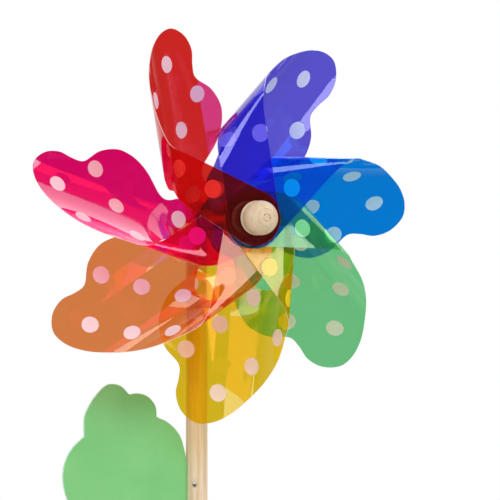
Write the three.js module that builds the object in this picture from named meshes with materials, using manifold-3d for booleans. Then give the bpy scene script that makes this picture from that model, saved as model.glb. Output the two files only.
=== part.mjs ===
// A pinwheel: seven curled clear films on one axle, held in front of a round wooden stick with a leaf.
// Millimetres. Origin at the centre of the stick's foot, +Z up, the wheel faces -Y, +X to the viewer's right.
import * as THREE from 'three';
import { mergeVertices } from 'three/addons/utils/BufferGeometryUtils.js';
import Module from 'manifold-3d';

const wasm = await Module();
wasm.setup();

// Driving dimensions
const axleHeight = 445;
const gap = 0.3;
const stickRadius = 7.5;
const stickAboveAxle = 13;
const axleRadius = 1.5;
const filmThickness = 0.5;
const hubClearance = 0.1;
const filmPitch = filmThickness + gap + hubClearance;
const wheelPlane = 39;
const rootDepth = -24.2;
const tipDepth = 57;
const washerThickness = 1;
const washerRadius = 6;
const spacerRadius = 3;
const capRadius = 11.4;
const capHeight = 14.6;

// The curl of one film, seen along the blade
const bodyRadius = 68;
const usualRootSlope = 25;
const forwardLean = 0.18;

// The flat pattern of one film: x across towards the curl, y along the blade, origin at the root hole
const stripHalfWidth = 7;
const stripLength = 14;
const usualTipRadius = 18.5;
const sagReach = 2.3 * usualTipRadius;
const rootFlatRadius = 15;
const rootBlendRadius = 40;
const usualFoldInner = 24;
const usualFoldOuter = 71;

const stripSteps = 3;
const bodySteps = 24;
const flapSteps = 12;
const stepsAcross = 4;
const endHalfAngle = 0.18;
const holeSides = 20;
const turnedSides = 32;
const weldTolerance = 1e-4;

// Seen from the front, angle counted anticlockwise from +X. Levels count from the front of each stack.
// The films are cut alike and curl a little differently: a flatter root reaches further before the fold.
const blades = [
  { name: 'blade_red', color: 0xcf2722, angle: 104.1, frontLevel: 0, rearLevel: 6,
    rootSlope: 18.9, foldInner: 31, foldOuter: 68, curlRadius: 13, stretch: 0.957 },
  { name: 'blade_violet', color: 0x5d55ce, angle: 50.3, frontLevel: 1, rearLevel: 5,
    rootSlope: 15.7, foldInner: 28, foldOuter: 75 },
  { name: 'blade_blue', color: 0x007dd4, angle: -0.5, frontLevel: 2, rearLevel: 4,
    rootSlope: 23, foldOuter: 79, tipRadius: 20.5 },
  { name: 'blade_green', color: 0x6ec082, angle: -49.4, frontLevel: 3, rearLevel: 3, stretch: 0.98 },
  { name: 'blade_yellow', color: 0xd7b61f, angle: -99.2, frontLevel: 4, rearLevel: 2 },
  { name: 'blade_orange', color: 0xdb8047, angle: -149.4, frontLevel: 5, rearLevel: 1,
    rootSlope: 22, stretch: 1.02 },
  { name: 'blade_magenta', color: 0xd40864, angle: 163.3, frontLevel: 6, rearLevel: 0, flapSag: 5 },
];

const paint = {
  wood: { color: 0xe2cda6, roughness: 0.65, metalness: 0 },
  leaf: { color: 0x7dc47c, roughness: 0.5, metalness: 0 },
  steel: { color: 0xb9bcc0, roughness: 0.3, metalness: 1 },
  clearPlastic: { color: 0xdfe6ea, roughness: 0.2, metalness: 0 },
};

function namedMesh(name, geometry, finish) {
  const mesh = new THREE.Mesh(geometry, new THREE.MeshStandardMaterial(finish));
  mesh.name = name;
  return mesh;
}

function toSolid(geometry) {
  const bare = geometry.clone();
  bare.deleteAttribute('normal');
  bare.deleteAttribute('uv');
  const merged = mergeVertices(bare, weldTolerance);
  return new wasm.Manifold(new wasm.Mesh({
    numProp: 3,
    vertProperties: new Float32Array(merged.attributes.position.array),
    triVerts: new Uint32Array(merged.index.array),
  }));
}

function toGeometry(solid) {
  const mesh = solid.getMesh();
  const geometry = new THREE.BufferGeometry();
  geometry.setAttribute('position', new THREE.BufferAttribute(mesh.vertProperties, 3));
  geometry.setIndex(new THREE.BufferAttribute(mesh.triVerts, 1));
  geometry.computeVertexNormals();
  return geometry;
}

// A round rod along +Z used to cut a hole
function holeCutter(radius, length) {
  const rod = new THREE.CylinderGeometry(radius, radius, length, holeSides);
  return rod.rotateX(Math.PI / 2);
}

// A turned ring about Z from a list of [radius, height] corners
function turned(corners, sides) {
  const profile = corners.map(([radius, height]) => new THREE.Vector2(radius, height));
  const geometry = new THREE.LatheGeometry(profile, sides);
  return geometry.rotateX(Math.PI / 2);
}

// A flat ring about Z, lowest face at z = 0
function ring(inner, outer, height, sides) {
  return turned([[inner, 0], [outer, 0], [outer, height], [inner, height], [inner, 0]], sides);
}

// The curl of one blade: an arc from the root slope up to the fold, a straight wall and a tighter front bend
function curlOf(blade) {
  const rootSlope = THREE.MathUtils.degToRad(blade.rootSlope ?? usualRootSlope);
  const foldReach = bodyRadius * (1 - Math.sin(rootSlope));
  const foldLength = bodyRadius * (Math.PI / 2 - rootSlope);
  const foldRise = bodyRadius * Math.cos(rootSlope);
  const fullRadius = tipDepth - rootDepth - foldRise;
  const radius = blade.curlRadius ?? fullRadius;
  const bendStart = foldLength + fullRadius - radius;
  const bendEnd = bendStart + radius * Math.PI / 2;
  const tipAcross = bendEnd + foldReach - radius;
  return { rootSlope, foldReach, foldLength, foldRise, radius, bendStart, bendEnd, tipAcross };
}

// How far across the blade and how far forward a point of the flat pattern comes to lie
function rolled(across, curl) {
  const { rootSlope, foldReach, foldLength, foldRise, radius, bendStart, bendEnd } = curl;
  const flatStart = -bodyRadius * rootSlope;
  if (across < flatStart) {
    return {
      reach: across - flatStart - bodyRadius * Math.sin(rootSlope),
      depth: -bodyRadius * (1 - Math.cos(rootSlope)),
    };
  }
  if (across < foldLength) {
    const slope = rootSlope + across / bodyRadius;
    return {
      reach: bodyRadius * (Math.sin(slope) - Math.sin(rootSlope)),
      depth: bodyRadius * (Math.cos(rootSlope) - Math.cos(slope)),
    };
  }
  if (across < bendStart) {
    return { reach: foldReach, depth: foldRise + across - foldLength };
  }
  if (across < bendEnd) {
    const turn = (across - bendStart) / radius;
    return {
      reach: foldReach - radius * (1 - Math.cos(turn)),
      depth: foldRise + bendStart - foldLength + radius * Math.sin(turn),
    };
  }
  return { reach: foldReach - radius - (across - bendEnd), depth: tipDepth - rootDepth };
}

// The middle of the film at a point of its flat pattern, in the blade's frame: x along, y across, z forward
function filmPoint(across, along, blade, curl) {
  const { reach, depth } = rolled(across, curl);
  const middleLevel = (blades.length - 1) / 2;
  const rootOffset = (middleLevel - blade.rearLevel) * filmPitch;
  const tipOffset = (middleLevel - blade.frontLevel) * filmPitch;
  const flapShare = THREE.MathUtils.smoothstep(across, curl.foldLength, curl.bendEnd);
  const toTip = Math.hypot(along, across - curl.tipAcross);
  const sag = (blade.flapSag ?? 0) * THREE.MathUtils.smoothstep(toTip, usualTipRadius, sagReach);
  const lean = forwardLean * along * (1 - flapShare);
  const shaped = depth + lean + (tipOffset - sag) * flapShare;
  const free = THREE.MathUtils.smoothstep(Math.hypot(along, across), rootFlatRadius, rootBlendRadius);
  return new THREE.Vector3(
    along * THREE.MathUtils.lerp(1, blade.stretch ?? 1, free * (1 - flapShare)),
    THREE.MathUtils.lerp(across, reach, free),
    rootDepth + THREE.MathUtils.lerp(rootOffset, shaped, free),
  );
}

function filmNormal(across, along, blade, curl) {
  const step = 0.05;
  const ahead = filmPoint(across, along + step, blade, curl);
  const beside = filmPoint(across + step, along, blade, curl);
  const alongStep = ahead.sub(filmPoint(across, along - step, blade, curl));
  const acrossStep = beside.sub(filmPoint(across - step, along, blade, curl));
  return alongStep.cross(acrossStep).normalize();
}

function smoothCurve(points) {
  return new THREE.CatmullRomCurve3(points.map(([x, y]) => new THREE.Vector3(x, y, 0)), false, 'centripetal');
}

// The two long edges of the pattern, cut into the same number of steps. The outer one has a neck above the
// root, two lobes and the notch between them; the inner one has a deep bay between the root and the curl.
function patternEdges(blade, curl) {
  const { foldLength, tipAcross } = curl;
  const foldInner = blade.foldInner ?? usualFoldInner;
  const foldOuter = blade.foldOuter ?? usualFoldOuter;
  const tipRadius = blade.tipRadius ?? usualTipRadius;
  const rootArc = (side) => {
    const path = new THREE.Path();
    const start = -Math.PI / 2 + side * endHalfAngle;
    const end = side > 0 ? 0 : -Math.PI;
    path.absarc(0, 0, stripHalfWidth, start, end, side < 0);
    path.lineTo(side * stripHalfWidth, stripLength);
    return path.getSpacedPoints(stripSteps);
  };
  const lobes = smoothCurve([
    [-stripHalfWidth, stripLength], [-8.3, 19.5], [-7.3, 25], [-4.8, 30], [-4.2, 34.8], [-6.6, 39.6],
    [-11.5, 44.3], [-18, 51], [-23, 59], [-26, 68], [-26.5, 78], [-21, 91], [-10, 102], [-9.5, 111],
    [-10.7, 121], [-6.5, 132], [3.4, 139], [14, 138], [27, 131], [42, 118], [57, 103.5], [69, 88.5],
    [foldLength, foldOuter],
  ]).getSpacedPoints(bodySteps);
  const innerEdge = smoothCurve([
    [stripHalfWidth, stripLength], [11.5, 17], [17.5, 19.5], [23, 23.5], [28.5, 30], [33, 36], [39, 41],
    [47, 43.5], [57, 42], [66, 37.5], [74, 32.5], [foldLength, foldInner],
  ]).getSpacedPoints(bodySteps);
  const tangentAngle = (point, side) => {
    const away = new THREE.Vector2(point[0] - tipAcross, point[1]);
    return away.angle() - side * Math.acos(tipRadius / away.length());
  };
  const flapEdge = (startAlong, side) => {
    const start = [foldLength, startAlong];
    const path = new THREE.Path();
    const meeting = tangentAngle(start, side);
    path.moveTo(start[0], start[1]);
    path.lineTo(tipAcross + tipRadius * Math.cos(meeting), tipRadius * Math.sin(meeting));
    const closing = side > 0 ? endHalfAngle : 2 * Math.PI - endHalfAngle;
    path.absarc(tipAcross, 0, tipRadius, meeting, closing, side > 0);
    return path.getSpacedPoints(flapSteps);
  };
  return {
    outer: [...rootArc(-1), ...lobes.slice(1), ...flapEdge(foldOuter, 1).slice(1)],
    inner: [...rootArc(1), ...innerEdge.slice(1), ...flapEdge(foldInner, -1).slice(1)],
  };
}

// One film: a front and a rear skin over the same grid, joined by a rim
function filmGeometry(blade) {
  const curl = curlOf(blade);
  const { outer, inner } = patternEdges(blade, curl);
  const rows = outer.length;
  const columns = stepsAcross + 1;
  const positions = [];
  for (const side of [0.5, -0.5]) {
    for (let row = 0; row < rows; row += 1) {
      for (let column = 0; column < columns; column += 1) {
        const share = column / stepsAcross;
        const across = THREE.MathUtils.lerp(inner[row].x, outer[row].x, share);
        const along = THREE.MathUtils.lerp(inner[row].y, outer[row].y, share);
        const normal = filmNormal(across, along, blade, curl);
        const point = filmPoint(across, along, blade, curl).addScaledVector(normal, side * filmThickness);
        positions.push(point.x, point.y, point.z);
      }
    }
  }
  const front = (row, column) => row * columns + column;
  const rear = (row, column) => rows * columns + row * columns + column;
  const faces = [];
  const quad = (a, b, c, d) => faces.push(a, b, c, a, c, d);
  for (let row = 0; row < rows - 1; row += 1) {
    for (let column = 0; column < stepsAcross; column += 1) {
      quad(front(row, column), front(row, column + 1), front(row + 1, column + 1), front(row + 1, column));
      quad(rear(row, column), rear(row + 1, column), rear(row + 1, column + 1), rear(row, column + 1));
    }
    const far = stepsAcross;
    quad(front(row, 0), front(row + 1, 0), rear(row + 1, 0), rear(row, 0));
    quad(front(row, far), rear(row, far), rear(row + 1, far), front(row + 1, far));
  }
  for (let column = 0; column < stepsAcross; column += 1) {
    const last = rows - 1;
    quad(front(0, column), rear(0, column), rear(0, column + 1), front(0, column + 1));
    quad(front(last, column), front(last, column + 1), rear(last, column + 1), rear(last, column));
  }
  const geometry = new THREE.BufferGeometry();
  geometry.setAttribute('position', new THREE.BufferAttribute(new Float32Array(positions), 3));
  geometry.setIndex(faces);
  const axleHole = holeCutter(axleRadius + 2 * gap, 4 * tipDepth);
  return toGeometry(toSolid(geometry).subtract(toSolid(axleHole)));
}

// Hub heights, forward from the wheel plane
const stackHalf = (blades.length - 1) / 2 * filmPitch + filmThickness / 2;
const rearOuterWasherAt = rootDepth - stackHalf - gap - washerThickness;
const rearInnerWasherAt = rootDepth + stackHalf + gap;
const spacerStart = rearInnerWasherAt + washerThickness + gap;
const frontInnerWasherAt = tipDepth - stackHalf - gap - washerThickness;
const spacerEnd = frontInnerWasherAt - gap;
const frontOuterWasherAt = tipDepth + stackHalf + gap;
const collarAt = frontOuterWasherAt + washerThickness + gap;
const collarHeight = 3;
const capAt = collarAt + collarHeight + gap;
const runningRadius = axleRadius + hubClearance + gap;

function rotorPieces() {
  const group = new THREE.Group();
  for (const blade of blades) {
    const finish = { color: blade.color, roughness: 0.15, metalness: 0, transparent: true, opacity: 0.7 };
    const mesh = namedMesh(blade.name, filmGeometry(blade), finish);
    mesh.rotation.z = THREE.MathUtils.degToRad(blade.angle);
    group.add(mesh);
  }
  const washers = [
    ['rear_outer_washer', rearOuterWasherAt],
    ['rear_inner_washer', rearInnerWasherAt],
    ['front_inner_washer', frontInnerWasherAt],
    ['front_outer_washer', frontOuterWasherAt],
  ];
  for (const [name, height] of washers) {
    const disc = ring(runningRadius, washerRadius, washerThickness, turnedSides);
    const washer = namedMesh(name, disc, paint.clearPlastic);
    washer.position.z = height;
    group.add(washer);
  }
  const spacer = namedMesh(
    'spacer_tube',
    ring(runningRadius, spacerRadius, spacerEnd - spacerStart, 24),
    paint.clearPlastic,
  );
  spacer.position.z = spacerStart;
  group.add(spacer);
  return group;
}

// The still pieces on the axle, in the wheel's frame
function axlePieces() {
  const group = new THREE.Group();
  const stickFront = stickRadius - wheelPlane;
  const stickBack = -stickRadius - wheelPlane;
  const fixedRadius = axleRadius + gap;
  const boreDepth = 9;
  const beadOuter = 4.6;
  const beadTaper = 1;
  const rimInset = 0.6;
  const endCapHeight = 5;
  const endCapWall = 1.5;
  const rodStart = stickBack - endCapHeight + endCapWall;
  const rodEnd = capAt + boreDepth - gap;
  const rod = new THREE.CylinderGeometry(axleRadius, axleRadius, rodEnd - rodStart, 24).rotateX(Math.PI / 2);
  const axle = namedMesh('axle', rod, paint.steel);
  axle.position.z = (rodStart + rodEnd) / 2;
  group.add(axle);

  const beadHeight = rearOuterWasherAt - stickFront - 2 * gap;
  const bead = turned([
    [fixedRadius, 0], [beadOuter - beadTaper, 0], [beadOuter, beadHeight / 2],
    [beadOuter - beadTaper, beadHeight], [fixedRadius, beadHeight], [fixedRadius, 0],
  ], turnedSides);
  const rearBead = namedMesh('rear_bead', bead, paint.wood);
  rearBead.position.z = stickFront + gap;
  group.add(rearBead);

  const collarOuter = capRadius;
  const collar = turned([
    [fixedRadius, 0], [collarOuter - 1, 0], [collarOuter, 0.8], [collarOuter, 2.2],
    [collarOuter - 0.8, collarHeight], [fixedRadius, collarHeight], [fixedRadius, 0],
  ], 36);
  const capCollar = namedMesh('cap_collar', collar, paint.wood);
  capCollar.position.z = collarAt;
  group.add(capCollar);

  const domeSteps = 8;
  const sideHeight = 5;
  const domeHeight = capHeight - sideHeight;
  const dome = [];
  for (let step = 0; step <= domeSteps; step += 1) {
    const turn = step / domeSteps * Math.PI / 2;
    dome.push([capRadius * Math.cos(turn), sideHeight + domeHeight * Math.sin(turn)]);
  }
  dome[domeSteps][0] = 0;
  const capProfile = [[0, boreDepth], [fixedRadius, boreDepth], [fixedRadius, 0], [capRadius - 2, 0],
    [capRadius - rimInset, 1.2], [capRadius, 2.8], ...dome];
  const cap = namedMesh('cap', turned(capProfile, 36), paint.wood);
  cap.position.z = capAt;
  group.add(cap);

  const endCap = turned([
    [0, -endCapHeight], [3, 0.4 - endCapHeight], [4.4, 2 - endCapHeight], [beadOuter, 0], [fixedRadius, 0],
    [fixedRadius, endCapWall - endCapHeight], [0, endCapWall - endCapHeight],
  ], turnedSides);
  const axleEndCap = namedMesh('axle_end_cap', endCap, paint.wood);
  axleEndCap.position.z = stickBack - gap;
  group.add(axleEndCap);
  return group;
}

// The leaf and its fixing in the stick
const leafThickness = 1.5;
const leafInset = 5;
const leafBottom = 150;
const slotTop = 277;
const bradHeights = [262, 172];
const bradSide = -stickRadius + 2.9;
const bradRadius = 0.6;
const bradLength = 10;
const bradHeadRadius = 1.5;
const bradFront = -Math.sqrt(stickRadius ** 2 - (bradSide + bradHeadRadius) ** 2) - gap;

function leafPiece() {
  const inner = -stickRadius + leafInset - gap;
  const shape = new THREE.Shape();
  shape.moveTo(inner, leafBottom + gap + 1);
  shape.lineTo(inner, slotTop - gap);
  shape.lineTo(-stickRadius - gap, slotTop - gap);
  const lobes = [
    [[-9, 284], [-13, 296], [-21, 304.5], [-30, 309]],
    [[-31, 316.5], [-36.5, 323], [-43.5, 325.5], [-50.5, 325]],
    [[-57, 331], [-66, 332], [-75.5, 324], [-83, 311], [-83.5, 297]],
    [[-93, 288], [-98.5, 275], [-97, 258], [-88, 242]],
    [[-87.5, 227], [-81, 213], [-66, 197], [-50, 182.5], [-37, 167.5], [-23, 154.5], [-7.8, leafBottom]],
  ];
  for (const lobe of lobes) {
    shape.splineThru(lobe.map(([x, z]) => new THREE.Vector2(x, z)));
  }
  const cut = { depth: leafThickness, bevelEnabled: false, curveSegments: 4 };
  const slab = new THREE.ExtrudeGeometry(shape, cut);
  slab.rotateX(Math.PI / 2).translate(0, leafThickness / 2, 0);
  let solid = toSolid(slab);
  for (const height of bradHeights) {
    const hole = new THREE.CylinderGeometry(bradRadius + gap, bradRadius + gap, 4 * leafThickness, 12);
    solid = solid.subtract(toSolid(hole.translate(bradSide, 0, height)));
  }
  return namedMesh('leaf', toGeometry(solid), paint.leaf);
}

function bradPiece(name, height) {
  const profile = [[0, -bradLength], [0.25, -bradLength], [bradRadius, 1 - bradLength], [bradRadius, 0],
    [bradHeadRadius, 0], [bradHeadRadius - 0.2, 0.5], [0.7, 0.8], [0, 0.9]];
  const brad = namedMesh(name, turned(profile, 16).rotateX(Math.PI / 2), paint.steel);
  brad.position.set(bradSide, bradFront, height);
  return brad;
}

function stickPiece() {
  const top = axleHeight + stickAboveAxle;
  const profile = [[0, 0], [4.6, 0], [5.6, 0.8], [6.9, 14], [stickRadius, 26], [stickRadius, top - 2.4],
    [6.8, top - 0.7], [5.2, top], [0, top]];
  const points = profile.map(([radius, height]) => new THREE.Vector2(radius, height));
  let solid = toSolid(new THREE.LatheGeometry(points, 40).rotateX(Math.PI / 2));
  const axleHole = holeCutter(axleRadius + gap, 4 * stickRadius).rotateX(Math.PI / 2);
  solid = solid.subtract(toSolid(axleHole.translate(0, 0, axleHeight)));
  const slotHeight = slotTop - leafBottom + gap;
  const slotWidth = leafThickness + 2 * gap;
  const slot = new THREE.BoxGeometry(2 * leafInset, slotWidth, slotHeight);
  slot.translate(-stickRadius, 0, leafBottom - gap + slotHeight / 2);
  solid = solid.subtract(toSolid(slot));
  for (const height of bradHeights) {
    const depth = bradLength + stickRadius;
    const hole = new THREE.CylinderGeometry(bradRadius + gap, bradRadius + gap, depth, 12);
    hole.translate(bradSide, bradFront + bradLength + gap - depth / 2, height);
    solid = solid.subtract(toSolid(hole));
  }
  return namedMesh('stick', toGeometry(solid), paint.wood);
}

const pinwheel = new THREE.Group();
pinwheel.add(stickPiece());
pinwheel.add(leafPiece());
pinwheel.add(bradPiece('leaf_brad_upper', bradHeights[0]));
pinwheel.add(bradPiece('leaf_brad_lower', bradHeights[1]));

const wheel = new THREE.Group();
wheel.rotation.x = Math.PI / 2;
wheel.position.set(0, -wheelPlane, axleHeight);
wheel.add(axlePieces());
wheel.add(rotorPieces());
pinwheel.add(wheel);

export default pinwheel;
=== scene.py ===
import math

import bpy
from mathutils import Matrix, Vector


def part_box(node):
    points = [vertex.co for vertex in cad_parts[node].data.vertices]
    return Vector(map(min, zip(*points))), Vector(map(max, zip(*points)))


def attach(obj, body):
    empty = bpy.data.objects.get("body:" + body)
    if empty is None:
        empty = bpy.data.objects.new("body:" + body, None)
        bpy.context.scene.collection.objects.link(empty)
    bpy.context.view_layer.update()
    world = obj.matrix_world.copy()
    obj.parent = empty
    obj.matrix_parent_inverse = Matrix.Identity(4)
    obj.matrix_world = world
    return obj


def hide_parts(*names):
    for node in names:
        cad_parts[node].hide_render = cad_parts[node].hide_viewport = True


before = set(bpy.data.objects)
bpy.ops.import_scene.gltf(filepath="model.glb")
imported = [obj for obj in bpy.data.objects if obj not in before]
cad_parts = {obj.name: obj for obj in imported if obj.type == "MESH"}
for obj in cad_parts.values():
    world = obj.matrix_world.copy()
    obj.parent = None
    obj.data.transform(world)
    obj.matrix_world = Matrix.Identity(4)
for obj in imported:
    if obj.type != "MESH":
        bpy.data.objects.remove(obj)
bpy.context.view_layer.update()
mm = 0.001


def stage(text):
    print("pinwheel:", text)


# Small helpers


def clearSelection():
    if bpy.context.mode != "OBJECT":
        bpy.ops.object.mode_set(mode="OBJECT")
    bpy.ops.object.select_all(action="DESELECT")


def pick(piece):
    clearSelection()
    piece.select_set(True)
    bpy.context.view_layer.objects.active = piece


def middleOf(node):
    low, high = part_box(node)
    return (low + high) / 2


def settle(piece, name):
    # the piece's place goes into its mesh
    pick(piece)
    bpy.ops.object.transform_apply(location=True, rotation=True, scale=True)
    piece.name = name
    piece.data.name = name


def smooth(piece, degrees):
    pick(piece)
    bpy.ops.object.shade_smooth_by_angle(angle=math.radians(degrees))


def linear(red, green, blue):
    # a paint chip's numbers, 0 to 255, as light
    def one(value):
        share = value / 255
        return share / 12.92 if share <= 0.04045 else ((share + 0.055) / 1.055) ** 2.4

    return (one(red), one(green), one(blue), 1)


class Recipe:
    # a material's nodes, laid out from left to right

    def __init__(self, name):
        self.material = bpy.data.materials.new(name)
        self.material.use_nodes = True
        self.tree = self.material.node_tree
        self.tree.nodes.clear()
        self.output = self.tree.nodes.new("ShaderNodeOutputMaterial")
        self.step = 0

    def add(self, kind, settings=None, **inputs):
        node = self.tree.nodes.new(kind)
        self.step += 1
        node.location = (-200 * (self.step % 12), -160 * (self.step // 12))
        for key, value in (settings or {}).items():
            setattr(node, key, value)
        for key, value in inputs.items():
            self.feed(node, key.replace("_", " "), value)
        return node

    def feed(self, node, socket, value):
        numbered = socket[0] == "n" and socket[1:].isdigit()
        target = node.inputs[int(socket[1:]) if numbered else socket]
        if isinstance(value, bpy.types.NodeSocket):
            self.tree.links.new(value, target)
        else:
            target.default_value = value

    def math(self, operation, first, second=0.0):
        node = self.add("ShaderNodeMath", {"operation": operation})
        self.feed(node, "n0", first)
        self.feed(node, "n1", second)
        return node.outputs[0]

    def between(self, value, low, high, outLow=0.0, outHigh=1.0):
        node = self.add("ShaderNodeMapRange")
        ends = {"Value": value, "From Min": low, "From Max": high, "To Min": outLow, "To Max": outHigh}
        for socket, item in ends.items():
            self.feed(node, socket, item)
        return node.outputs["Result"]

    def spot(self, scale=(1, 1, 1), turn=(0, 0, 0), shift=(0, 0, 0)):
        place = self.add("ShaderNodeTexCoord")
        mapping = self.add(
            "ShaderNodeMapping", Vector=place.outputs["Object"], Location=shift, Rotation=turn, Scale=scale
        )
        return mapping.outputs["Vector"]

    def noise(self, where, scale, detail=3.0, roughness=0.5, distortion=0.0):
        node = self.add(
            "ShaderNodeTexNoise", Vector=where, Scale=scale, Detail=detail, Roughness=roughness,
            Distortion=distortion,
        )
        return node.outputs["Fac"]

    def ramp(self, value, stops):
        node = self.add("ShaderNodeValToRGB", Fac=value)
        band = node.color_ramp
        while len(band.elements) < len(stops):
            band.elements.new(0.5)
        for element, (position, color) in zip(band.elements, stops):
            element.position = position
            element.color = color
        return node.outputs["Color"]

    def distance(self, where, spot):
        node = self.add("ShaderNodeVectorMath", {"operation": "DISTANCE"})
        self.feed(node, "n0", where)
        self.feed(node, "n1", spot)
        return node.outputs["Value"]

    def blendColor(self, share, first, second):
        node = self.add("ShaderNodeMix", {"data_type": "RGBA"})
        self.feed(node, "n0", share)
        self.feed(node, "n6", first)
        self.feed(node, "n7", second)
        return node.outputs[2]

    def bump(self, height, strength, distance):
        node = self.add("ShaderNodeBump", Height=height, Strength=strength, Distance=distance)
        return node.outputs["Normal"]

    def mix(self, share, first, second):
        node = self.add("ShaderNodeMixShader")
        self.feed(node, "n0", share)
        self.feed(node, "n1", first)
        self.feed(node, "n2", second)
        return node.outputs[0]

    def finish(self, shader):
        self.tree.links.new(shader, self.output.inputs["Surface"])
        return self.material


# Camera and room

wheelPlane = -0.039  # the wheel's middle, in front of the stick
wheelMiddle = Vector((0, wheelPlane, middleOf("axle").z))
camera = {
    "azimuth": -24.0,  # degrees round from straight in front, towards the viewer's left
    "distance": 1.8,
    "lens": 190.5,
    "aside": 0.0211,  # the wheel's middle stands left of and above the middle of the view
    "below": 0.0211,
}


def addCamera():
    turn = math.radians(camera["azimuth"])
    right = Vector((math.cos(turn), math.sin(turn), 0))
    forward = Vector((-math.sin(turn), math.cos(turn), 0))
    aim = wheelMiddle + right * camera["aside"] - Vector((0, 0, camera["below"]))
    lens = bpy.data.cameras.new("camera")
    lens.lens = camera["lens"]
    lens.sensor_width = 36
    lens.dof.use_dof = False
    lens.clip_end = 50
    eye = bpy.data.objects.new("camera", lens)
    eye.location = aim - forward * camera["distance"]
    eye.rotation_euler = (aim - eye.location).to_track_quat("-Z", "Y").to_euler()
    bpy.context.scene.collection.objects.link(eye)
    bpy.context.scene.camera = eye


# each softbox by its direction from the wheel, its half angles and its brightness
softboxes = {
    "frontRight": {"azimuth": 33, "height": -10.6, "halfWidth": 13.5, "halfHeight": 10, "brightness": 4.2},
    "aboveCamera": {"azimuth": -22, "height": 33, "halfWidth": 24, "halfHeight": 9, "brightness": 4.6},
    "aboveRight": {"azimuth": 48, "height": 48, "halfWidth": 20, "halfHeight": 9, "brightness": 3.5},
    "left": {"azimuth": -84, "height": 20, "halfWidth": 18, "halfHeight": 12, "brightness": 2.4},
    "right": {"azimuth": 112, "height": 36, "halfWidth": 36, "halfHeight": 14, "brightness": 2.0},
    "overhead": {"azimuth": 180, "height": 74, "halfWidth": 10, "halfHeight": 9, "brightness": 2.6},
}
room = {
    "lightDistance": 2.2,
    "backdrop": 1.0,  # straight behind the object
    "behindFilm": 0.66,  # the same backdrop seen through a film
    "backdropMirrored": 0.8,  # and in a film seen edge on
    "walls": 0.05,  # the dim room that the shiny films mirror
    "wallsEnd": 0.3,  # shares of the way from front to back: the walls end here
    "backdropStart": 0.7,  # and the backdrop is at its full brightness from here
    "fill": 0.36,  # the soft light that comes from all round
    "floorRadius": 2.3,
    "floorTone": 0.72,
}


def addSoftbox(name, box):
    turn, lift = math.radians(box["azimuth"]), math.radians(box["height"])
    towards = Vector((math.sin(turn) * math.cos(lift), -math.cos(turn) * math.cos(lift), math.sin(lift)))
    lamp = bpy.data.lights.new(name, "AREA")
    lamp.shape = "RECTANGLE"
    lamp.size = 2 * room["lightDistance"] * math.tan(math.radians(box["halfWidth"]))
    lamp.size_y = 2 * room["lightDistance"] * math.tan(math.radians(box["halfHeight"]))
    lamp.energy = box["brightness"] * 4 * lamp.size * lamp.size_y
    stand = bpy.data.objects.new(name, lamp)
    stand.location = wheelMiddle + towards * room["lightDistance"]
    stand.rotation_euler = (-towards).to_track_quat("-Z", "Y").to_euler()
    bpy.context.scene.collection.objects.link(stand)


def addWorld():
    world = bpy.data.worlds.new("studio")
    bpy.context.scene.world = world
    world.use_nodes = True
    tree = world.node_tree
    tree.nodes.clear()

    def add(kind, **values):
        node = tree.nodes.new(kind)
        for socket, value in values.items():
            node.inputs[socket.replace("_", " ")].default_value = value
        return node

    path = add("ShaderNodeLightPath")
    through = add("ShaderNodeMath")
    through.operation = "GREATER_THAN"
    through.inputs[1].default_value = 0.5
    tree.links.new(path.outputs["Transparent Depth"], through.inputs[0])
    behind = add("ShaderNodeMapRange", To_Min=room["backdrop"], To_Max=room["behindFilm"])
    tree.links.new(through.outputs[0], behind.inputs["Value"])
    place = add("ShaderNodeTexCoord")
    parts = add("ShaderNodeSeparateXYZ")
    tree.links.new(place.outputs["Generated"], parts.inputs[0])
    mirrored = add(
        "ShaderNodeMapRange", From_Min=room["wallsEnd"], From_Max=room["backdropStart"],
        To_Min=room["walls"], To_Max=room["backdropMirrored"],
    )
    tree.links.new(parts.outputs["Y"], mirrored.inputs["Value"])
    around = add("ShaderNodeMapRange", To_Min=room["fill"])
    tree.links.new(path.outputs["Is Glossy Ray"], around.inputs["Value"])
    tree.links.new(mirrored.outputs["Result"], around.inputs["To Max"])
    seen = add("ShaderNodeMix")
    tree.links.new(path.outputs["Is Camera Ray"], seen.inputs["Factor"])
    tree.links.new(around.outputs["Result"], seen.inputs["A"])
    tree.links.new(behind.outputs["Result"], seen.inputs["B"])
    glow = add("ShaderNodeBackground", Color=(1, 1, 1, 1))
    tree.links.new(seen.outputs["Result"], glow.inputs["Strength"])
    output = add("ShaderNodeOutputWorld")
    tree.links.new(glow.outputs[0], output.inputs["Surface"])


def addFloor():
    clearSelection()
    bpy.ops.mesh.primitive_circle_add(vertices=96, radius=room["floorRadius"], fill_type="NGON")
    floor = bpy.context.object
    floor.name = "floor"
    recipe = Recipe("floor_paper")
    grain = recipe.noise(recipe.spot(), 6, 4)
    tone = room["floorTone"]
    warmTone = (tone * 1.04, tone * 1.03, tone * 1.01, 1)
    color = recipe.ramp(grain, [(0.3, (tone, tone, tone, 1)), (0.7, warmTone)])
    paper = recipe.add("ShaderNodeBsdfPrincipled", Base_Color=color, Roughness=0.9)
    floor.data.materials.append(recipe.finish(paper.outputs[0]))
    floor.visible_glossy = False  # the films don't mirror it


addCamera()
for boxName, box in softboxes.items():
    addSoftbox(boxName, box)
addWorld()
addFloor()
studio = bpy.context.scene
studio.view_settings.view_transform = "Standard"
studio.view_settings.look = "None"
studio.cycles.transparent_max_bounces = 48  # enough for every film that lies behind another
stage("camera, lights and floor are up")


# The seven films

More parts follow.
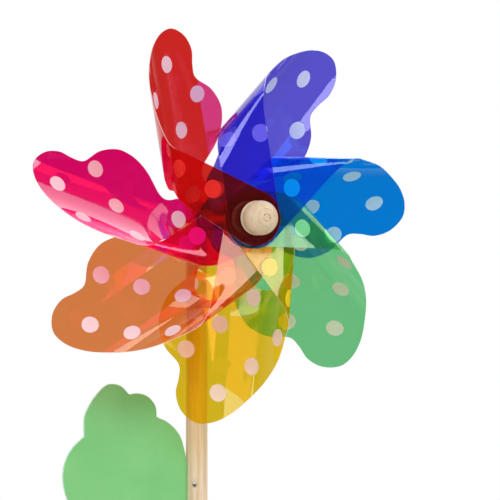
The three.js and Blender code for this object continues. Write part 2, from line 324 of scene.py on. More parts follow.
hub = {  # heights forward from the wheel's middle
    "rootDepth": -24.2 * mm,
    "tipDepth": 57 * mm,
    "filmPitch": 0.9 * mm,
    "holeRadius": 2.1 * mm,
    "cutterLength": 0.3,
}
cut = {  # the flat shape that every film is cut to
    "stripHalfWidth": 7 * mm,
    "stripLength": 14 * mm,
    "rootFlatRadius": 15 * mm,
    "rootBlendRadius": 40 * mm,
    "endHalfAngle": 0.18,
    "lobes": [
        (-7, 14), (-8.3, 19.5), (-7.3, 25), (-4.8, 30), (-4.2, 34.8), (-6.6, 39.6), (-11.5, 44.3), (-18, 51),
        (-23, 59), (-26, 68), (-26.5, 78), (-21, 91), (-10, 102), (-9.5, 111), (-10.7, 121), (-6.5, 132),
        (3.4, 139), (14, 138), (27, 131), (42, 118), (57, 103.5), (69, 88.5),
    ],
    "innerEdge": [
        (7, 14), (11.5, 17), (17.5, 19.5), (23, 23.5), (28.5, 30), (33, 36), (39, 41), (47, 43.5), (57, 42),
        (66, 37.5), (74, 32.5),
    ],
}
curl = {
    "bodyRadius": 68 * mm,
    "forwardLean": 0.18,
    "thickness": 0.42 * mm,
    "sagReach": 2.3,  # a flap's sag is full this many tip radii from its tip
}
grid = {"stripRows": 8, "bodyRows": 104, "flapRows": 64, "columns": 26}
dotPrint = {  # the white dots, in millimetres
    "dotRadius": 5.95,
    "edgeBlur": 0.12,
    "cover": 0.9,
    # the dots are print; seen from inside the film they take this paler grey, which is painted light coming
    # through the film
    "paintedLitInkInside": (0.78, 0.78, 0.78, 1),
}
filmFinish = {
    "haze": (0.04, 0.065),  # the least and the most milky share
    "polish": (0.015, 0.06),  # roughness where it is new and where it is rubbed
    "mirror": 0.042,  # the share that it mirrors straight on
    "mirrorPower": 5,  # how late the mirror comes up towards a grazing look
}
usualFilm = {  # what a film has unless its own lines say otherwise, in degrees and millimetres
    "rootSlope": 25, "foldInner": 24, "foldOuter": 71, "tipRadius": 18.5,
    "flapSag": 0, "stretch": 1, "tilt": 0,
}

films = {  # each dot is given across and along from the root hole
    "red": {
        "angle": 104.1, "frontLevel": 0, "rearLevel": 6, "rootSlope": 18.9,
        "foldInner": 31, "foldOuter": 68, "curlRadius": 13, "stretch": 0.957,
        "film": (207, 39, 34), "ink": (229, 192, 200),
        "dots": [
            (-9.6, 89.6), (10, 67.4), (14.8, 115.3), (40.8, 93), (34, 43.5), (66, 70), (95.6, 45.1),
            (117.1, 25.7), (4, 19),
        ],
    },
    "violet": {
        "angle": 50.3, "frontLevel": 1, "rearLevel": 5, "rootSlope": 15.7, "foldInner": 28, "foldOuter": 75,
        "film": (93, 85, 206), "ink": (205, 213, 240),
        "dots": [
            (-9.4, 88.1), (13, 68), (15, 114.3), (39.6, 91.3), (38, 49), (66, 73), (97.6, 28.7),
            (114.3, 46.1), (7, 21), (88, 70),
        ],
    },
    "blue": {
        "angle": -0.5, "frontLevel": 2, "rearLevel": 4, "rootSlope": 23, "foldOuter": 79, "tipRadius": 20.5,
        "film": (0, 125, 212), "ink": (170, 208, 232),
        "dots": [
            (-10.3, 91.6), (10.6, 72.1), (14.5, 116), (40.6, 91.6), (38, 51), (64, 76), (111.1, 27.7),
            (88, 49), (7, 22),
        ],
    },
    "green": {
        "angle": -49.4, "frontLevel": 3, "rearLevel": 3, "stretch": 0.98, "tilt": 0.01,
        "film": (110, 192, 130), "ink": (196, 210, 184),
        "dots": [
            (-4.2, 91.3), (17.1, 69.6), (18.3, 114.3), (43.4, 91.3), (42, 49), (66, 73), (104.2, 28.7),
            (86, 47.4), (8, 22),
        ],
    },
    "yellow": {
        "angle": -99.2, "frontLevel": 4, "rearLevel": 2,
        "film": (215, 182, 31), "ink": (234, 212, 196),
        "dots": [
            (-6.2, 90.6), (16, 70.4), (18.3, 117), (42.6, 96.1), (40, 49.6), (66.1, 74.9), (-7, 45.5),
            (88, 48), (110, 30),
        ],
    },
    "orange": {
        "angle": -149.4, "frontLevel": 5, "rearLevel": 1, "rootSlope": 22, "stretch": 1.02, "tilt": 0.008,
        "film": (219, 128, 71), "ink": (240, 214, 218),
        "dots": [
            (-9.3, 87.6), (13.4, 68.9), (14.5, 115.3), (38.5, 97.1), (38, 51.1), (61.7, 77.6),
            (109.5, 34.4), (88, 52), (7, 22),
        ],
    },
    "magenta": {
        "angle": 163.3, "frontLevel": 6, "rearLevel": 0, "flapSag": 5,
        "film": (212, 8, 100), "ink": (238, 194, 206),
        "dots": [
            (-7.7, 91.8), (15.5, 73.1), (14.5, 119.8), (42.1, 102.3), (41.6, 59.4), (66, 83),
            (105.4, 32.2), (6.6, 20.7), (86, 55),
        ],
    },
}
middleLevel = (len(films) - 1) / 2


def blendBetween(low, high, share):
    return low + (high - low) * share


def easeIn(value, low, high):
    share = min(max((value - low) / (high - low), 0), 1)
    return share * share * (3 - 2 * share)


def curlOf(film):
    radius = curl["bodyRadius"]
    slope = math.radians(film["rootSlope"])
    foldReach = radius * (1 - math.sin(slope))
    foldLength = radius * (math.pi / 2 - slope)
    foldRise = radius * math.cos(slope)
    fullRadius = hub["tipDepth"] - hub["rootDepth"] - foldRise
    frontRadius = film["curlRadius"] * mm if "curlRadius" in film else fullRadius
    bendStart = foldLength + fullRadius - frontRadius
    bendEnd = bendStart + frontRadius * math.pi / 2
    return {
        "slope": slope, "foldReach": foldReach, "foldLength": foldLength, "foldRise": foldRise,
        "frontRadius": frontRadius, "bendStart": bendStart, "bendEnd": bendEnd,
        "tipAcross": bendEnd + foldReach - frontRadius,
    }


def rolled(across, shape):
    # how far across and how far forward a point of the flat film comes to lie
    radius, slope = curl["bodyRadius"], shape["slope"]
    flatStart = -radius * slope
    if across < flatStart:
        return across - flatStart - radius * math.sin(slope), -radius * (1 - math.cos(slope))
    if across < shape["foldLength"]:
        turn = slope + across / radius
        return radius * (math.sin(turn) - math.sin(slope)), radius * (math.cos(slope) - math.cos(turn))
    if across < shape["bendStart"]:
        return shape["foldReach"], shape["foldRise"] + across - shape["foldLength"]
    rise = shape["foldRise"] + shape["bendStart"] - shape["foldLength"]
    frontRadius = shape["frontRadius"]
    if across < shape["bendEnd"]:
        turn = (across - shape["bendStart"]) / frontRadius
        return shape["foldReach"] - frontRadius * (1 - math.cos(turn)), rise + frontRadius * math.sin(turn)
    return shape["foldReach"] - frontRadius - (across - shape["bendEnd"]), hub["tipDepth"] - hub["rootDepth"]


def filmPoint(across, along, film, shape):
    reach, depth = rolled(across, shape)
    rootOffset = (middleLevel - film["rearLevel"]) * hub["filmPitch"]
    tipOffset = (middleLevel - film["frontLevel"]) * hub["filmPitch"]
    flapShare = easeIn(across, shape["foldLength"], shape["bendEnd"])
    toTip = math.hypot(along, across - shape["tipAcross"])
    tipRadius = film["tipRadius"] * mm
    sag = film["flapSag"] * mm * easeIn(toTip, tipRadius, curl["sagReach"] * tipRadius)
    lean = curl["forwardLean"] * along * (1 - flapShare)
    shaped = depth + lean + (tipOffset - sag) * flapShare
    free = easeIn(math.hypot(along, across), cut["rootFlatRadius"], cut["rootBlendRadius"])
    forward = hub["rootDepth"] + blendBetween(rootOffset, shaped, free)
    beside = blendBetween(across, reach, free)
    along *= blendBetween(1, film["stretch"], free * (1 - flapShare))
    turn = math.radians(film["angle"])
    x = along * math.cos(turn) - beside * math.sin(turn)
    z = along * math.sin(turn) + beside * math.cos(turn)
    forward += film["tilt"] * z * flapShare
    return wheelMiddle + Vector((x, -forward, z))


def evenly(points, steps):
    # the same line in equal steps
    lengths = [0]
    for (x0, y0), (x1, y1) in zip(points, points[1:]):
        lengths.append(lengths[-1] + math.hypot(x1 - x0, y1 - y0))
    result, at = [], 0
    for step in range(steps + 1):
        wanted = lengths[-1] * step / steps
        while at < len(points) - 2 and lengths[at + 1] < wanted:
            at += 1
        span = lengths[at + 1] - lengths[at]
        share = min(max((wanted - lengths[at]) / span, 0), 1) if span else 0
        result.append(tuple(blendBetween(a, b, share) for a, b in zip(points[at], points[at + 1])))
    return result


def smoothLine(points, fine=40):
    # a centripetal Catmull-Rom line through the points
    spots = [Vector(point) for point in points]
    spots = [2 * spots[0] - spots[1]] + spots + [2 * spots[-1] - spots[-2]]
    line = []
    for p0, p1, p2, p3 in zip(spots, spots[1:], spots[2:], spots[3:]):
        d0, d1, d2 = ((b - a).length ** 0.5 for a, b in ((p0, p1), (p1, p2), (p2, p3)))
        start = ((p1 - p0) / d0 - (p2 - p0) / (d0 + d1) + (p2 - p1) / d1) * d1
        end = ((p2 - p1) / d1 - (p3 - p1) / (d1 + d2) + (p3 - p2) / d2) * d1
        for step in range(fine):
            t = step / fine
            bend = -3 * p1 + 3 * p2 - 2 * start - end
            twist = 2 * p1 - 2 * p2 + start + end
            line.append(tuple(p1 + start * t + bend * t * t + twist * t ** 3))
    line.append(tuple(spots[-2]))
    return line


def arc(middle, radius, start, end, steps=60):
    turns = (blendBetween(start, end, step / steps) for step in range(steps + 1))
    return [(middle + radius * math.cos(turn), radius * math.sin(turn)) for turn in turns]


def cutEdges(film, shape):
    foldLength, tipAcross = shape["foldLength"], shape["tipAcross"]
    closing = cut["endHalfAngle"]
    edges = {}
    tipRadius = film["tipRadius"] * mm
    for side in (-1, 1):  # the outer edge with the two lobes, and then the inner one
        end = 0 if side > 0 else -math.pi
        root = arc(0, cut["stripHalfWidth"], -math.pi / 2 + side * closing, end)
        root.append((side * cut["stripHalfWidth"], cut["stripLength"]))
        points = cut["lobes"] if side < 0 else cut["innerEdge"]
        foldAlong = film["foldOuter" if side < 0 else "foldInner"] * mm
        body = smoothLine([(x * mm, y * mm) for x, y in points] + [(foldLength, foldAlong)])
        away = Vector((foldLength - tipAcross, foldAlong))
        meeting = math.atan2(away.y, away.x) + side * math.acos(tipRadius / away.length)
        last = closing if side < 0 else 2 * math.pi - closing
        if side > 0 and meeting < 0:
            meeting += 2 * math.pi
        flap = [(foldLength, foldAlong)] + arc(tipAcross, tipRadius, meeting, last)
        rows = evenly(root, grid["stripRows"])
        rows += evenly(body, grid["bodyRows"])[1:]
        rows += evenly(flap, grid["flapRows"])[1:]
        edges[side] = rows
    return edges[1], edges[-1]


def edgeSkin(recipe, clear, body):
    # a cut edge catches the light and looks paler than the sheet
    pale = tuple(blendBetween(channel, 1, 0.6) for channel in body[:3]) + (1,)
    cutFace = recipe.add("ShaderNodeBsdfPrincipled", Base_Color=pale, Roughness=0.3).outputs[0]
    grain = recipe.noise(recipe.spot(), 900, 2)
    return recipe.mix(recipe.between(grain, 0.3, 0.7, 0.5, 0.75), clear, cutFace)


def sheetSkin(recipe, clear, body, cloud, where):
    milk = recipe.add("ShaderNodeBsdfDiffuse", Color=body).outputs[0]
    tinted = recipe.mix(recipe.between(cloud, 0.3, 0.7, *filmFinish["haze"]), clear, milk)
    rub = recipe.noise(recipe.spot((1, 1, 0.35)), 260, 4, 0.6)
    polish = recipe.between(rub, 0.35, 0.75, *filmFinish["polish"])
    ripple = recipe.bump(recipe.noise(where, 12, 1), 0.25, 0.0006)
    shine = recipe.add("ShaderNodeBsdfGlossy", Color=(1, 1, 1, 1), Roughness=polish, Normal=ripple).outputs[0]
    facing = recipe.add("ShaderNodeLayerWeight", Blend=0.5, Normal=ripple).outputs["Facing"]
    glance = recipe.math("POWER", facing, filmFinish["mirrorPower"])
    return recipe.mix(recipe.between(glance, 0, 1, filmFinish["mirror"], 1), tinted, shine)


def printDots(recipe, film, surface, cloud, where):
    flat = recipe.add("ShaderNodeUVMap", {"uv_map": "flat"}).outputs[0]
    nearest = None
    for across, along in film["dots"]:
        reach = recipe.distance(flat, (across * mm, along * mm, 0))
        nearest = reach if nearest is None else recipe.math("MINIMUM", nearest, reach)
    radius, blur = dotPrint["dotRadius"] * mm, dotPrint["edgeBlur"] * mm
    dot = recipe.between(nearest, radius + blur, radius - blur)
    speckle = recipe.noise(where, 1400, 2)
    solid = recipe.between(speckle, 0.2, 0.8, dotPrint["cover"] - 0.05, dotPrint["cover"] + 0.03)
    ink = linear(*film["ink"])
    thinInk = tuple(channel * 0.94 for channel in ink[:3]) + (1,)
    mottle = recipe.ramp(cloud, [(0.3, thinInk), (0.7, ink)])
    # painted light: seen from inside the film, the ink turns a paler grey, so the dots there look lit through
    # the film
    inside = recipe.add("ShaderNodeNewGeometry").outputs["Backfacing"]
    mottle = recipe.blendColor(inside, mottle, dotPrint["paintedLitInkInside"])
    paint = recipe.add("ShaderNodeBsdfPrincipled", Base_Color=mottle, Roughness=0.42).outputs[0]
    return recipe.mix(recipe.math("MULTIPLY", dot, solid), surface, paint)


def filmRecipe(name, film):
    tone = linear(*film["film"])
    # light crosses both skins of a film, so each skin has half of the tint
    through = tuple(min(channel / room["behindFilm"], 1) ** 0.5 for channel in tone[:3]) + (1,)
    body = tuple(min(channel * 1.1, 1) for channel in tone[:3]) + (1,)
    materials = []
    for skin in ("front", "back", "edge"):
        recipe = Recipe(f"{name}_{skin}")
        clear = recipe.add("ShaderNodeBsdfTransparent", Color=through).outputs[0]
        if skin == "edge":
            surface = edgeSkin(recipe, clear, body)
        else:
            where = recipe.spot()
            cloud = recipe.noise(where, 45, 3)
            surface = sheetSkin(recipe, clear, body, cloud, where)
        if skin == "front":
            surface = printDots(recipe, film, surface, cloud, where)
        materials.append(recipe.finish(surface))
    return materials


def axleCutter():
    clearSelection()
    bpy.ops.mesh.primitive_cylinder_add(
        vertices=48, radius=hub["holeRadius"], depth=hub["cutterLength"], location=wheelMiddle,
        rotation=(math.pi / 2, 0, 0),
    )
    cutter = bpy.context.object
    settle(cutter, "axle_cutter")
    return cutter


def addFilm(name, film, cutter):
    shape = curlOf(film)
    inner, outer = cutEdges(film, shape)
    rows, columns = len(inner) - 1, grid["columns"]
    clearSelection()
    bpy.ops.mesh.primitive_grid_add(x_subdivisions=columns, y_subdivisions=rows, size=1, calc_uvs=True)
    piece = bpy.context.object
    mesh = piece.data
    mesh.uv_layers[0].name = "flat"
    flatAt = []
    for vertex in mesh.vertices:
        row = round((vertex.co.y + 0.5) * rows)
        share = round((vertex.co.x + 0.5) * columns) / columns
        across = blendBetween(inner[row][0], outer[row][0], share)
        along = blendBetween(inner[row][1], outer[row][1], share)
        flatAt.append((across, along))
        vertex.co = filmPoint(across, along, film, shape)
    for loop, corner in zip(mesh.loops, mesh.uv_layers["flat"].data):
        corner.uv = flatAt[loop.vertex_index]
    pick(piece)
    bpy.ops.object.mode_set(mode="EDIT")
    bpy.ops.mesh.select_all(action="SELECT")
    bpy.ops.mesh.normals_make_consistent(inside=False)
    bpy.ops.object.mode_set(mode="OBJECT")
    middle = mesh.polygons[len(mesh.polygons) // 3]
    if middle.normal.y > 0:  # the printed side faces forward on the body
        bpy.ops.object.mode_set(mode="EDIT")
        bpy.ops.mesh.flip_normals()
        bpy.ops.object.mode_set(mode="OBJECT")
    for material in filmRecipe(f"film_{name}", film):
        mesh.materials.append(material)
    shell = piece.modifiers.new("thickness", "SOLIDIFY")
    shell.thickness = curl["thickness"]
    shell.offset = 0
    shell.use_even_offset = False
    shell.material_offset = 1
    shell.material_offset_rim = 2
    bpy.ops.object.modifier_apply(modifier="thickness")
    hole = piece.modifiers.new("axle_hole", "BOOLEAN")
    hole.operation = "DIFFERENCE"
    hole.solver = "EXACT"
    hole.object = cutter
    bpy.ops.object.modifier_apply(modifier="axle_hole")
    settle(piece, f"film_{name}")
    smooth(piece, 40)
    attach(piece, "rotor")
    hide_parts(f"blade_{name}")


cutter = axleCutter()
for filmName, film in films.items():
    addFilm(filmName, {**usualFilm, **film}, cutter)
bpy.data.objects.remove(cutter)
stage("seven films are curled and printed")

# What is turned on a lathe: the stick, the cap, the beads, the axle, the washers and the brads


pole = 0.06  # a closed profile starts and ends this close to the axis, in millimetres


def turnOnLathe(profile, sides):
    # the profile gives radius and height of each corner, in millimetres, up the Z axis
    clearSelection()
    startRadius, startHeight = profile[0]
    bpy.ops.mesh.primitive_circle_add(vertices=sides, radius=startRadius * mm, location=(0, 0, 0))
    piece = bpy.context.object
    bpy.ops.object.mode_set(mode="EDIT")
    bpy.ops.mesh.select_all(action="SELECT")
    bpy.ops.transform.translate(value=(0, 0, startHeight * mm))
    for (radius, height), (nextRadius, nextHeight) in zip(profile, profile[1:]):
        bpy.ops.mesh.extrude_region_move(TRANSFORM_OT_translate={"value": (0, 0, (nextHeight - height) * mm)})
        share = nextRadius / radius
        bpy.ops.transform.resize(value=(share, share, 1), center_override=(0, 0, 0))
    bpy.ops.mesh.select_all(action="SELECT")
    bpy.ops.mesh.remove_doubles(threshold=0.002 * mm)
    bpy.ops.mesh.fill_holes(sides=0)
    bpy.ops.mesh.normals_make_consistent(inside=False)
    bpy.ops.object.mode_set(mode="OBJECT")
    return piece


def standsFor(piece, node, name, body, materials, degrees=32):
    settle(piece, name)
    for material in materials:
        piece.data.materials.append(material)
    smooth(piece, degrees)
    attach(piece, body)
    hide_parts(node)


def ontoAxle(piece, node):
    # the foot of the profile goes to the back of the node, and its height points forward
    piece.rotation_euler = (math.pi / 2, 0, 0)
    piece.location = (wheelMiddle.x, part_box(node)[1].y, wheelMiddle.z)


def depthOf(node):
    low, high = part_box(node)
    return (high.y - low.y) / mm


def copyOf(piece):
    twin = piece.copy()
    twin.data = piece.data.copy()
    bpy.context.scene.collection.objects.link(twin)
    return twin


def cutAway(piece, cutter):
    pick(piece)
    hole = piece.modifiers.new("cut", "BOOLEAN")
    hole.operation = "DIFFERENCE"
    hole.solver = "EXACT"
    hole.object = cutter
    bpy.ops.object.modifier_apply(modifier="cut")
    bpy.data.objects.remove(cutter)


def rodCutter(radius, length, where):
    clearSelection()
    bpy.ops.mesh.primitive_cylinder_add(
        vertices=32, radius=radius, depth=length, location=where, rotation=(math.pi / 2, 0, 0)
    )
    return bpy.context.object


wood = {
    "light": (226, 206, 178),
    "usual": (217, 193, 160),
    "dark": (202, 174, 138),
    "pore": (176, 142, 106),
    # painted shade: this dark colour and the rings below darken the cap's grooves and its centre mark
    "grooveShade": (142, 104, 68),
    "grooveShadeRings": [(2.4, 0.85), (5.8, 0.4), (0, 0.8)],  # radius, in millimetres, and strength
    "streakSize": 330,
    "poreSize": 1500,
    "ringPitch": 0.62 * mm,  # the turning tool's marks
}


def woodRecipe(name, grain, contrast, shade=1.0, around=None):
    # grain squeezes the pattern along the fibres; around is the axis that a turned piece's tool marks circle
    recipe = Recipe(name)
    light, usual, dark, pore = (
        linear(*(shade * blendBetween(a, b, contrast) for a, b in zip(wood["usual"], wood[key])))
        for key in ("light", "usual", "dark", "pore")
    )
    where = recipe.spot(grain)
    streak = recipe.noise(where, wood["streakSize"], 4, 0.55, 0.4)
    color = recipe.ramp(streak, [(0.34, dark), (0.5, usual), (0.66, light)])
    fleck = recipe.between(recipe.noise(where, wood["poreSize"], 2, 0.6), 0.6, 0.72, 0, 0.55)
    color = recipe.blendColor(fleck, color, pore)
    height = recipe.math("SUBTRACT", streak, fleck)
    if around:
        reach = recipe.add("ShaderNodeVectorMath", {"operation": "LENGTH"})
        recipe.feed(reach, "n0", recipe.spot((1, 0, 1), shift=(-around.x, 0, -around.z)))
        phase = recipe.math("MULTIPLY", reach.outputs["Value"], 2 * math.pi / wood["ringPitch"])
        marks = recipe.math("SINE", phase)
        patchy = recipe.between(recipe.noise(recipe.spot(), 160, 2), 0.4, 0.7, 0, 0.5)
        marks = recipe.math("MULTIPLY", marks, patchy)
        height = recipe.math("ADD", height, marks)
        color = recipe.blendColor(recipe.between(marks, 0.1, 0.5, 0, 0.3), color, dark)
        # painted shade: broken dark rings at the grooves and the centre mark, stronger where the groove is
        # deeper
        grooveShade = linear(*wood["grooveShade"])
        for middle, strength in wood["grooveShadeRings"]:
            away = recipe.math("ABSOLUTE", recipe.math("SUBTRACT", reach.outputs["Value"], middle * mm))
            broken = recipe.between(recipe.noise(recipe.spot(), 420, 2), 0.42, 0.6, 0, strength)
            ring = recipe.math("MULTIPLY", recipe.between(away, 0.55 * mm, 0.15 * mm), broken)
            color = recipe.blendColor(ring, color, grooveShade)
    relief = recipe.bump(height, 0.35, 0.00012)
    polish = recipe.between(streak, 0.3, 0.7, 0.5, 0.38)
    timber = recipe.add("ShaderNodeBsdfPrincipled", Base_Color=color, Roughness=polish, Normal=relief)
    timber.inputs["Specular IOR Level"].default_value = 0.4
    return recipe.finish(timber.outputs[0])


steelLook = {"dark": (178, 180, 184), "light": (205, 207, 210)}


def steelRecipe():
    recipe = Recipe("brushed_steel")
    lines = recipe.noise(recipe.spot((1, 0.04, 1)), 2200, 3, 0.6)
    color = recipe.ramp(lines, [(0.3, linear(*steelLook["dark"])), (0.7, linear(*steelLook["light"]))])
    polish = recipe.between(lines, 0.3, 0.7, 0.22, 0.38)
    relief = recipe.bump(lines, 0.2, 0.00004)
    metal = recipe.add(
        "ShaderNodeBsdfPrincipled", Base_Color=color, Metallic=1.0, Roughness=polish, Normal=relief
    )
    return recipe.finish(metal.outputs[0])


clearLook = {
    "through": (0.93, 0.95, 0.96, 1),
    "milk": (0.8, 0.83, 0.85, 1),
    "haze": (0.06, 0.12),
    "polish": (0.06, 0.14),
    "mirror": 0.045,
    "mirrorPower": 5,
}


def clearRecipe():
    recipe = Recipe("clear_plastic")
    cloud = recipe.noise(recipe.spot(), 300, 3)
    clear = recipe.add("ShaderNodeBsdfTransparent", Color=clearLook["through"]).outputs[0]
    milk = recipe.add("ShaderNodeBsdfDiffuse", Color=clearLook["milk"]).outputs[0]
    polish = recipe.between(cloud, 0.3, 0.7, *clearLook["polish"])
    shine = recipe.add("ShaderNodeBsdfGlossy", Roughness=polish).outputs[0]
    facing = recipe.add("ShaderNodeLayerWeight", Blend=0.5).outputs["Facing"]
    body = recipe.mix(recipe.between(cloud, 0.3, 0.7, *clearLook["haze"]), clear, milk)
    glance = recipe.math("POWER", facing, clearLook["mirrorPower"])
    return recipe.finish(recipe.mix(recipe.between(glance, 0, 1, clearLook["mirror"], 1), body, shine))


steel = steelRecipe()
clearPlastic = clearRecipe()
turnedWood = woodRecipe("turned_wood", (1, 0.5, 0.2), 0.4, 0.94, around=wheelMiddle)
stickWood = woodRecipe("stick_wood", (1, 1, 0.035), 0.8)

cap = {
    "radius": 11.4,
    "sideHeight": 5,
    "domeHeight": 9.6,
    "boreRadius": 1.8,
    "boreDepth": 9,
    "foot": [
        (7.1, 0), (7.3, 0.9), (9.6, 1.05), (10.5, 1.3), (11.0, 1.8), (11.3, 2.6), (11.4, 3.5), (11.4, 4.3),
    ],
    "rings": 26,
    "grooves": [(8.7, 0.12), (5.8, 0.2), (2.4, 0.4)],  # radius and depth of the tool's deeper marks
    "grooveHalfWidth": 0.42,
    "centreMark": 0.55,
    "centreDepth": 0.2,
}


def capProfile():
    def dome(radius):
        return cap["sideHeight"] + cap["domeHeight"] * math.sqrt(max(1 - (radius / cap["radius"]) ** 2, 0))

    turns = [step * math.pi / 2 / cap["rings"] for step in range(cap["rings"])]
    radii = [cap["radius"] * math.cos(turn) for turn in turns]
    points = [(radius, dome(radius)) for radius in radii]
    half = cap["grooveHalfWidth"]
    for middle, depth in cap["grooves"]:  # the dome's own points give way to each groove's four
        points = [point for point in points if abs(point[0] - middle) > 1.4 * half]
        points += [(middle + half, dome(middle + half)), (middle + half / 3, dome(middle) - depth)]
        points += [(middle - half / 3, dome(middle) - depth), (middle - half, dome(middle - half))]
    mark, sunk = cap["centreMark"], cap["centreDepth"]
    points = [point for point in points if point[0] > 1.5 * mark]
    points += [(1.4 * mark, dome(mark)), (mark, dome(mark) - 0.8 * sunk)]
    points += [(mark / 2, dome(0) - sunk), (pole, dome(0) - 0.1 * sunk)]
    points.sort(key=lambda point: -point[0])
    inside = [(pole, cap["boreDepth"]), (cap["boreRadius"], cap["boreDepth"]), (cap["boreRadius"], 0)]
    return inside + cap["foot"] + points


piece = turnOnLathe(capProfile(), 96)
ontoAxle(piece, "cap")
standsFor(piece, "cap", "turned_cap", "stand", [turnedWood], 28)

collar = {
    "profile": [
        (1.8, 0), (10.4, 0), (11.0, 0.2), (11.35, 0.6), (11.4, 1.0), (11.35, 1.35), (11.1, 1.65), (10.5, 1.8),
        (7.2, 1.9), (7.0, 3), (1.8, 3), (1.8, 0),
    ],
}
piece = turnOnLathe(collar["profile"], 96)
ontoAxle(piece, "cap_collar")
standsFor(piece, "cap_collar", "turned_collar", "stand", [turnedWood], 40)

bead = {"outer": 4.6, "taper": 1.0, "bore": 1.8, "length": depthOf("rear_bead"), "rings": 16}
steps = [step / bead["rings"] for step in range(bead["rings"] + 1)]
profile = [
    (bead["outer"] - bead["taper"] * abs(2 * share - 1) ** 2.2, share * bead["length"]) for share in steps
]
profile = [(bead["bore"], 0)] + profile + [(bead["bore"], bead["length"]), (bead["bore"], 0)]
piece = turnOnLathe(profile, 64)
ontoAxle(piece, "rear_bead")
standsFor(piece, "rear_bead", "turned_bead", "stand", [turnedWood])

endCap = {
    "profile": [
        (pole, 0), (1.6, 0.06), (3.0, 0.4), (3.9, 1.1), (4.4, 2.0), (4.58, 3.2), (4.6, 4.7), (4.5, 5.0),
        (1.8, 5.0), (1.8, 1.5), (pole, 1.5),
    ],
}
piece = turnOnLathe(endCap["profile"], 64)
ontoAxle(piece, "axle_end_cap")
standsFor(piece, "axle_end_cap", "turned_end_cap", "stand", [turnedWood])

rod = {"radius": 1.5, "chamfer": 0.3, "length": depthOf("axle")}
rodEnd = rod["radius"] - rod["chamfer"]
piece = turnOnLathe([
    (pole, 0), (rodEnd, 0), (rod["radius"], rod["chamfer"]),
    (rod["radius"], rod["length"] - rod["chamfer"]), (rodEnd, rod["length"]), (pole, rod["length"]),
], 48)
ontoAxle(piece, "axle")
standsFor(piece, "axle", "steel_axle", "stand", [steel])

washer = {"bore": 1.9, "outer": 6.0, "height": 1.0, "round": 0.2, "nodes": [
    "rear_outer_washer", "rear_inner_washer", "front_inner_washer", "front_outer_washer",
]}
soft = washer["round"]
washerPiece = turnOnLathe([
    (washer["bore"] + soft, 0), (washer["outer"] - soft, 0), (washer["outer"], soft),
    (washer["outer"], washer["height"] - soft), (washer["outer"] - soft, washer["height"]),
    (washer["bore"] + soft, washer["height"]), (washer["bore"], washer["height"] - soft),
    (washer["bore"], soft), (washer["bore"] + soft, 0),
], 64)
for node in washer["nodes"]:
    piece = copyOf(washerPiece)
    ontoAxle(piece, node)
    standsFor(piece, node, f"clear_{node}", "rotor", [clearPlastic])
bpy.data.objects.remove(washerPiece)

spacer = {"bore": 1.9, "outer": 3.0, "round": 0.15, "length": depthOf("spacer_tube")}
edge = spacer["round"]
piece = turnOnLathe([
    (spacer["bore"], 0), (spacer["outer"] - edge, 0), (spacer["outer"], edge),
    (spacer["outer"], spacer["length"] - edge),
    (spacer["outer"] - edge, spacer["length"]), (spacer["bore"], spacer["length"]), (spacer["bore"], 0),
], 48)
ontoAxle(piece, "spacer_tube")
standsFor(piece, "spacer_tube", "clear_spacer_tube", "rotor", [clearPlastic])
stage("cap, beads, axle and washers are turned")


# The stick, with its slot for the leaf

stick = {
    "radius": 7.5,
    "top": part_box("stick")[1].z / mm,
    "foot": [
        (pole, 0), (4.3, 0), (4.9, 0.2), (5.6, 0.9), (6.1, 4), (6.9, 14), (7.25, 20), (7.45, 25), (7.5, 28),
    ],
    "rings": [150, 277],  # heights of the rings at the two ends of the slot
    "crown": [(7.5, 2.6), (7.35, 1.6), (6.8, 0.7), (6.0, 0.15), (5.2, 0), (pole, 0)],  # down from the top
    "axleHole": 1.8,
    "slotDepth": 5,
    "slotWidth": 2.1,
    "slotBottom": 149.7,
    "slotTop": 277,
    "bradHole": 0.9,
    "bradDepth": 10.3,
}
shank = [(stick["radius"], height) for height in stick["rings"]]
crown = [(radius, stick["top"] - drop) for radius, drop in stick["crown"]]
piece = turnOnLathe(stick["foot"] + shank + crown, 96)
cutAway(piece, rodCutter(stick["axleHole"] * mm, 40 * mm, (wheelMiddle.x, 0, wheelMiddle.z)))
clearSelection()
slotHeight = stick["slotTop"] - stick["slotBottom"]
bpy.ops.mesh.primitive_cube_add(
    size=1, location=(-stick["radius"] * mm, 0, (stick["slotBottom"] + slotHeight / 2) * mm),
    scale=(2 * stick["slotDepth"] * mm, stick["slotWidth"] * mm, slotHeight * mm),
)
cutAway(piece, bpy.context.object)
bradNodes = {"leaf_brad_upper": "steel_brad_upper", "leaf_brad_lower": "steel_brad_lower"}
brad = {
    "head": 0.9,
    "profile": [
        (pole, -10), (0.25, -9.95), (0.45, -9.4), (0.6, -9), (0.6, 0), (1.35, 0), (1.5, 0.12), (1.48, 0.32),
        (1.3, 0.52), (0.95, 0.72), (0.5, 0.86), (pole, 0.9),
    ],
}
bradFoot = {}
for node in bradNodes:
    middle, front = middleOf(node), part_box(node)[0].y
    bradFoot[node] = Vector((middle.x, front + brad["head"] * mm, middle.z))
    depth = stick["bradDepth"] + stick["radius"]
    hole = Vector(bradFoot[node])
    hole.y += (stick["bradDepth"] - depth / 2) * mm
    cutAway(piece, rodCutter(stick["bradHole"] * mm, depth * mm, hole))
standsFor(piece, "stick", "wooden_stick", "stand", [stickWood])

bradPiece = turnOnLathe(brad["profile"], 32)
for node, name in bradNodes.items():
    piece = copyOf(bradPiece)
    piece.rotation_euler = (math.pi / 2, 0, 0)
    piece.location = bradFoot[node]
    standsFor(piece, node, name, "stand", [steel])
bpy.data.objects.remove(bradPiece)
stage("the stick is slotted and the brads are in")


# The leaf

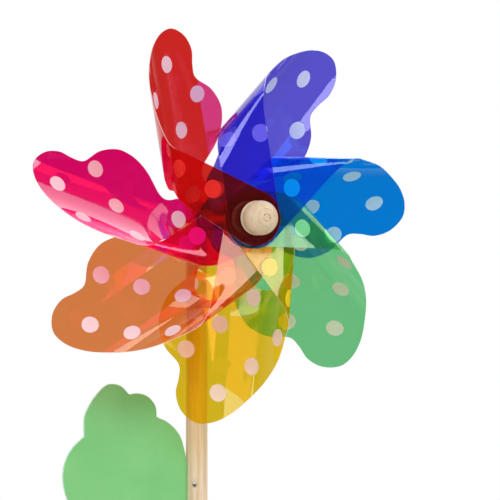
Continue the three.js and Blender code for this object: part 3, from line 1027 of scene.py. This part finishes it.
leaf = {
    "thickness": 1.5,
    "round": 0.35,
    "steps": 10,  # along each stretch of a lobe
    "inSlot": [(-2.8, 151.3), (-2.8, 276.7)],
    "lobes": [
        [(-7.8, 276.7), (-9, 284), (-13, 296), (-21, 304.5), (-30, 309)],
        [(-30, 309), (-31, 316.5), (-36.5, 323), (-43.5, 325.5), (-50.5, 325)],
        [(-50.5, 325), (-57, 331), (-66, 332), (-75.5, 324), (-83, 311), (-83.5, 297)],
        [(-83.5, 297), (-93, 288), (-98.5, 275), (-97, 258), (-88, 242)],
        [
            (-88, 242), (-87.5, 227), (-81, 213), (-66, 197), (-50, 182.5), (-37, 167.5), (-23, 154.5),
            (-7.8, 150),
        ],
    ],
    "color": (125, 196, 124),
    "mottle": (117, 190, 118),
    # painted highlight: the pale green that the leaf's rim is painted with
    "edge": (196, 234, 212),
}


def leafRecipes():
    recipe = Recipe("leaf_green")
    cloud = recipe.noise(recipe.spot(), 26, 4, 0.5)
    color = recipe.ramp(cloud, [(0.35, linear(*leaf["mottle"])), (0.65, linear(*leaf["color"]))])
    pebble = recipe.noise(recipe.spot(), 1500, 3, 0.6)
    polish = recipe.between(pebble, 0.3, 0.7, 0.5, 0.62)
    relief = recipe.bump(pebble, 0.12, 0.00006)
    face = recipe.add("ShaderNodeBsdfPrincipled", Base_Color=color, Roughness=polish, Normal=relief)
    face.inputs["Specular IOR Level"].default_value = 0.25
    # the rim faces get a pale green ramp, a painted highlight along the leaf's edge
    rim = Recipe("leaf_edge_highlight")
    strip = rim.noise(rim.spot((1, 3, 1)), 700, 3, 0.6)
    deep = linear(*(0.5 * (a + b) for a, b in zip(leaf["edge"], leaf["color"])))
    edgeHighlightColor = rim.ramp(strip, [(0.3, deep), (0.7, linear(*leaf["edge"]))])
    relief = rim.bump(strip, 0.2, 0.0001)
    side = rim.add("ShaderNodeBsdfPrincipled", Base_Color=edgeHighlightColor, Roughness=0.55, Normal=relief)
    return [recipe.finish(face.outputs[0]), rim.finish(side.outputs[0])]


outline = [(x * mm, z * mm) for x, z in leaf["inSlot"]]
for lobe in leaf["lobes"]:
    outline += smoothLine([(x * mm, z * mm) for x, z in lobe], leaf["steps"])[:-1]
lastX, lastZ = leaf["lobes"][-1][-1]
outline.append((lastX * mm, lastZ * mm))
clearSelection()
bpy.ops.mesh.primitive_circle_add(vertices=len(outline), radius=1, fill_type="NGON")
piece = bpy.context.object
half = leaf["thickness"] * mm / 2
for vertex, (x, z) in zip(piece.data.vertices, outline):
    vertex.co = (x, -half, z)
bpy.ops.object.mode_set(mode="EDIT")
bpy.ops.mesh.select_all(action="SELECT")
bpy.ops.mesh.extrude_region_move(TRANSFORM_OT_translate={"value": (0, 2 * half, 0)})
bpy.ops.mesh.select_all(action="SELECT")
bpy.ops.mesh.normals_make_consistent(inside=False)
bpy.ops.object.mode_set(mode="OBJECT")
for polygon in piece.data.polygons:
    polygon.material_index = 0 if abs(polygon.normal.y) > 0.5 else 1
for material in leafRecipes():
    piece.data.materials.append(material)
pick(piece)
rounded = piece.modifiers.new("rounded", "BEVEL")
rounded.width = leaf["round"] * mm
rounded.segments = 3
rounded.limit_method = "ANGLE"
rounded.angle_limit = math.radians(60)
rounded.material = 1
bpy.ops.object.modifier_apply(modifier="rounded")
for node in bradNodes:
    hole = Vector((bradFoot[node].x, 0, bradFoot[node].z))
    cutAway(piece, rodCutter(stick["bradHole"] * mm, 4 * leaf["thickness"] * mm, hole))
standsFor(piece, "leaf", "leaf_board", "stand", [], 35)
stage("the leaf is cut and rounded")
